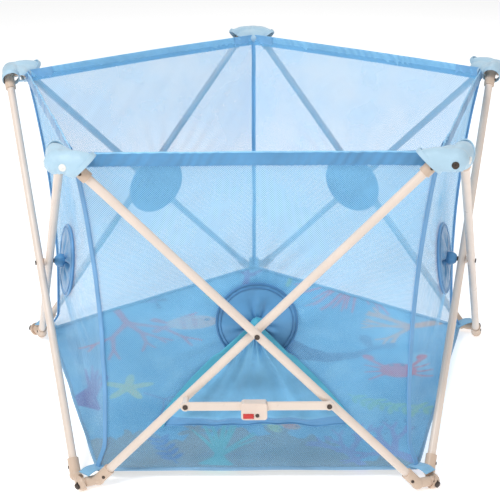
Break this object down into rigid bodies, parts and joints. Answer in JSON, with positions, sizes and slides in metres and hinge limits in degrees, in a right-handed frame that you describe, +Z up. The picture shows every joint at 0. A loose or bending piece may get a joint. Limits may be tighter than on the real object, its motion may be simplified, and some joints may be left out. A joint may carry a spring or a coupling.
{
  "type": "playpen",
  "caption": "Folding pentagonal playpen: crossed-tube sides with elbow corner joints, mesh walls, printed fabric floor and a locking bar with a release button.",
  "frame": {"origin": "on the ground under the middle of the floor, where the five floor gores meet", "axes": "+Z up; the front panel, which carries the lock bar, faces -Y; +X is to the right seen from the front"},
  "size_m": [1.1785, 1.1381, 0.714],
  "materials": {
    "frame_paint": "satin cream powder coat",
    "elbow_plastic": "satin moulded beige plastic",
    "rivet_steel": "dark plated steel",
    "lock_plastic": "satin moulded cream plastic",
    "button_red": "gloss red plastic",
    "spring_steel": "spring steel strip",
    "mesh_fabric": "light blue knitted mesh with solid blue nylon hems",
    "floor_fabric": "printed woven polyester",
    "webbing": "light blue woven webbing"
  },
  "bodies": {
    "foot_front_left": {"foot_rivet_front": "rivet_steel", "corner_strap_front": "webbing"},
    "top_front_left": {"top_rivet_front": "rivet_steel", "wall_front": "mesh_fabric"},
    "outer_tube_front": {"tube_front_outer": "frame_paint", "elbows_front_outer": "elbow_plastic", "cross_pin_front": "rivet_steel"},
    "inner_tube_front": {"tube_front_inner": "frame_paint", "elbows_front_inner": "elbow_plastic", "lock_rivet_left": "rivet_steel"},
    "floor_gore_front": {"floor_gore_front": "floor_fabric"},
    "foot_front_right": {"foot_rivet_right": "rivet_steel", "corner_strap_right": "webbing"},
    "top_front_right": {"top_rivet_right": "rivet_steel", "wall_right": "mesh_fabric"},
    "outer_tube_right": {"tube_right_outer": "frame_paint", "elbows_right_outer": "elbow_plastic", "cross_pin_right": "rivet_steel"},
    "inner_tube_right": {"tube_right_inner": "frame_paint", "elbows_right_inner": "elbow_plastic"},
    "floor_gore_right": {"floor_gore_right": "floor_fabric"},
    "foot_right": {"foot_rivet_back_right": "rivet_steel", "corner_strap_back_right": "webbing"},
    "top_right": {"top_rivet_back_right": "rivet_steel", "wall_back_right": "mesh_fabric"},
    "outer_tube_back_right": {"tube_back_right_outer": "frame_paint", "elbows_back_right_outer": "elbow_plastic", "cross_pin_back_right": "rivet_steel"},
    "inner_tube_back_right": {"tube_back_right_inner": "frame_paint", "elbows_back_right_inner": "elbow_plastic"},
    "floor_gore_back_right": {"floor_gore_back_right": "floor_fabric"},
    "foot_back": {"foot_rivet_back_left": "rivet_steel", "corner_strap_back_left": "webbing"},
    "top_back": {"top_rivet_back_left": "rivet_steel", "wall_back_left": "mesh_fabric"},
    "outer_tube_back_left": {"tube_back_left_outer": "frame_paint", "elbows_back_left_outer": "elbow_plastic", "cross_pin_back_left": "rivet_steel"},
    "inner_tube_back_left": {"tube_back_left_inner": "frame_paint", "elbows_back_left_inner": "elbow_plastic"},
    "floor_gore_back_left": {"floor_gore_back_left": "floor_fabric"},
    "foot_left": {"foot_rivet_left": "rivet_steel", "corner_strap_left": "webbing"},
    "top_left": {"top_rivet_left": "rivet_steel", "wall_left": "mesh_fabric"},
    "outer_tube_left": {"tube_left_outer": "frame_paint", "elbows_left_outer": "elbow_plastic", "cross_pin_left": "rivet_steel"},
    "inner_tube_left": {"tube_left_inner": "frame_paint", "elbows_left_inner": "elbow_plastic"},
    "floor_gore_left": {"floor_gore_left": "floor_fabric"},
    "lock_left": {"lock_arm_left": "frame_paint", "lock_housing": "lock_plastic", "lock_hinge_pin": "rivet_steel", "lock_button_spring": "spring_steel"},
    "lock_right": {"lock_arm_right": "frame_paint", "lock_rivet_right": "rivet_steel"},
    "lock_button": {"lock_button": "button_red"}
  },
  "joints": [
    {"name": "frame_fold", "type": "hinge", "parent": "foot_front_left", "child": "inner_tube_front", "pos_m": [-0.35, -0.48173, 0.016], "axis": [0, -1, 0], "range_deg": [0, 38.5], "deforming": ["wall_front", "wall_right", "wall_back_right", "wall_back_left", "wall_left", "floor_gore_front", "floor_gore_right", "floor_gore_back_right", "floor_gore_back_left", "floor_gore_left", "corner_strap_front", "corner_strap_right", "corner_strap_back_right", "corner_strap_back_left", "corner_strap_left"]},
    {"name": "top_front_right_level", "type": "hinge", "parent": "inner_tube_front", "child": "top_front_right", "pos_m": [0.35, -0.48173, 0.691], "axis": [0, -1, 0], "range_deg": [-38.52, 0]},
    {"name": "outer_tube_right_turn", "type": "hinge", "parent": "top_front_right", "child": "outer_tube_right", "pos_m": [0.35, -0.48173, 0.691], "axis": [0.9511, -0.309, 0], "range_deg": [-38.52, 0]},
    {"name": "foot_right_level", "type": "hinge", "parent": "outer_tube_right", "child": "foot_right", "pos_m": [0.56631, 0.18401, 0.016], "axis": [0.9511, -0.309, 0], "range_deg": [0, 38.52]},
    {"name": "inner_tube_back_right_turn", "type": "hinge", "parent": "foot_right", "child": "inner_tube_back_right", "pos_m": [0.56631, 0.18401, 0.016], "axis": [0.5878, 0.809, 0], "range_deg": [0, 38.52]},
    {"name": "top_back_level", "type": "hinge", "parent": "inner_tube_back_right", "child": "top_back", "pos_m": [0, 0.59546, 0.691], "axis": [0.5878, 0.809, 0], "range_deg": [-38.52, 0]},
    {"name": "outer_tube_left_turn", "type": "hinge", "parent": "foot_front_left", "child": "outer_tube_left", "pos_m": [-0.35, -0.48173, 0.016], "axis": [-0.9511, -0.309, 0], "range_deg": [-38.52, 0]},
    {"name": "top_left_level", "type": "hinge", "parent": "outer_tube_left", "child": "top_left", "pos_m": [-0.56631, 0.18401, 0.691], "axis": [-0.9511, -0.309, 0], "range_deg": [0, 38.52]},
    {"name": "inner_tube_back_left_turn", "type": "hinge", "parent": "top_left", "child": "inner_tube_back_left", "pos_m": [-0.56631, 0.18401, 0.691], "axis": [-0.5878, 0.809, 0], "range_deg": [0, 38.52]},
    {"name": "foot_back_level", "type": "hinge", "parent": "inner_tube_back_left", "child": "foot_back", "pos_m": [0, 0.59546, 0.016], "axis": [-0.5878, 0.809, 0], "range_deg": [-38.52, 0]},
    {"name": "crossing_front", "type": "hinge", "parent": "inner_tube_front", "child": "outer_tube_front", "pos_m": [0, -0.48173, 0.3535], "axis": [0, -1, 0], "range_deg": [-77.02, 0]},
    {"name": "top_front_left_level", "type": "hinge", "parent": "outer_tube_front", "child": "top_front_left", "pos_m": [-0.35, -0.48173, 0.691], "axis": [0, -1, 0], "range_deg": [0, 38.52]},
    {"name": "foot_front_right_level", "type": "hinge", "parent": "outer_tube_front", "child": "foot_front_right", "pos_m": [0.35, -0.48173, 0.016], "axis": [0, -1, 0], "range_deg": [0, 38.52]},
    {"name": "crossing_right", "type": "hinge", "parent": "outer_tube_right", "child": "inner_tube_right", "pos_m": [0.45816, -0.14886, 0.3535], "axis": [0.9511, -0.309, 0], "range_deg": [0, 77.02]},
    {"name": "top_right_level", "type": "hinge", "parent": "inner_tube_right", "child": "top_right", "pos_m": [0.56631, 0.18401, 0.691], "axis": [0.9511, -0.309, 0], "range_deg": [-38.52, 0]},
    {"name": "crossing_left", "type": "hinge", "parent": "outer_tube_left", "child": "inner_tube_left", "pos_m": [-0.45816, -0.14886, 0.3535], "axis": [-0.9511, -0.309, 0], "range_deg": [0, 77.02]},
    {"name": "foot_left_level", "type": "hinge", "parent": "inner_tube_left", "child": "foot_left", "pos_m": [-0.56631, 0.18401, 0.016], "axis": [-0.9511, -0.309, 0], "range_deg": [-38.52, 0]},
    {"name": "crossing_back_left", "type": "hinge", "parent": "inner_tube_back_left", "child": "outer_tube_back_left", "pos_m": [-0.28316, 0.38973, 0.3535], "axis": [-0.5878, 0.809, 0], "range_deg": [-77.02, 0]},
    {"name": "crossing_back_right", "type": "hinge", "parent": "inner_tube_back_right", "child": "outer_tube_back_right", "pos_m": [0.28316, 0.38973, 0.3535], "axis": [0.5878, 0.809, 0], "range_deg": [-77.02, 0]},
    {"name": "floor_gore_front_lift", "type": "hinge", "parent": "top_front_left", "child": "floor_gore_front", "pos_m": [0, -0.43069, 0.00125], "axis": [1, 0, 0], "range_deg": [0, 84.02]},
    {"name": "floor_gore_right_lift", "type": "hinge", "parent": "top_front_right", "child": "floor_gore_right", "pos_m": [0.40961, -0.13309, 0.00125], "axis": [0.309, 0.9511, 0], "range_deg": [0, 84.02]},
    {"name": "floor_gore_back_right_lift", "type": "hinge", "parent": "top_right", "child": "floor_gore_back_right", "pos_m": [0.25315, 0.34844, 0.00125], "axis": [-0.809, 0.5878, 0], "range_deg": [0, 84.02]},
    {"name": "floor_gore_back_left_lift", "type": "hinge", "parent": "top_back", "child": "floor_gore_back_left", "pos_m": [-0.25315, 0.34844, 0.00125], "axis": [-0.809, -0.5878, 0], "range_deg": [0, 84.02]},
    {"name": "floor_gore_left_lift", "type": "hinge", "parent": "top_left", "child": "floor_gore_left", "pos_m": [-0.40961, -0.13309, 0.00125], "axis": [0.309, -0.9511, 0], "range_deg": [0, 84.02]},
    {"name": "lock_bar_lift", "type": "hinge", "parent": "inner_tube_front", "child": "lock_left", "pos_m": [-0.13784, -0.50373, 0.20858], "axis": [0, -1, 0], "range_deg": [0, 50.41]},
    {"name": "lock_bar_hinge", "type": "hinge", "parent": "lock_left", "child": "lock_right", "pos_m": [0, -0.50373, 0.19358], "axis": [0, -1, 0], "range_deg": [-177.81, 0]},
    {"name": "release_button_press", "type": "slide", "parent": "lock_left", "child": "lock_button", "axis": [0, 1, 0], "range_m": [0, 0.002], "stiffness_N_per_m": 900, "deforming": ["lock_button_spring"]}
  ],
  "couplings": [
    {"joint": "top_front_right_level", "follows": "frame_fold", "ratio": -1},
    {"joint": "outer_tube_right_turn", "follows": "frame_fold", "ratio": -1},
    {"joint": "foot_right_level", "follows": "frame_fold", "ratio": 1},
    {"joint": "inner_tube_back_right_turn", "follows": "frame_fold", "ratio": 1},
    {"joint": "top_back_level", "follows": "frame_fold", "ratio": -1},
    {"joint": "outer_tube_left_turn", "follows": "frame_fold", "ratio": -1},
    {"joint": "top_left_level", "follows": "frame_fold", "ratio": 1},
    {"joint": "inner_tube_back_left_turn", "follows": "frame_fold", "ratio": 1},
    {"joint": "foot_back_level", "follows": "frame_fold", "ratio": -1},
    {"joint": "crossing_front", "follows": "frame_fold", "ratio": -2},
    {"joint": "top_front_left_level", "follows": "frame_fold", "ratio": 1},
    {"joint": "foot_front_right_level", "follows": "frame_fold", "ratio": 1},
    {"joint": "crossing_right", "follows": "frame_fold", "ratio": 2},
    {"joint": "top_right_level", "follows": "frame_fold", "ratio": -1},
    {"joint": "crossing_left", "follows": "frame_fold", "ratio": 2},
    {"joint": "foot_left_level", "follows": "frame_fold", "ratio": -1},
    {"joint": "crossing_back_left", "follows": "frame_fold", "ratio": -2},
    {"joint": "crossing_back_right", "follows": "frame_fold", "ratio": -2},
    {"joint": "floor_gore_front_lift", "follows": "frame_fold", "ratio": 2.1818},
    {"joint": "floor_gore_right_lift", "follows": "frame_fold", "ratio": 2.1818},
    {"joint": "floor_gore_back_right_lift", "follows": "frame_fold", "ratio": 2.1818},
    {"joint": "floor_gore_back_left_lift", "follows": "frame_fold", "ratio": 2.1818},
    {"joint": "floor_gore_left_lift", "follows": "frame_fold", "ratio": 2.1818},
    {"joint": "lock_bar_lift", "follows": "frame_fold", "ratio": 1.3089},
    {"joint": "lock_bar_hinge", "follows": "frame_fold", "ratio": -4.6178}
  ]
}
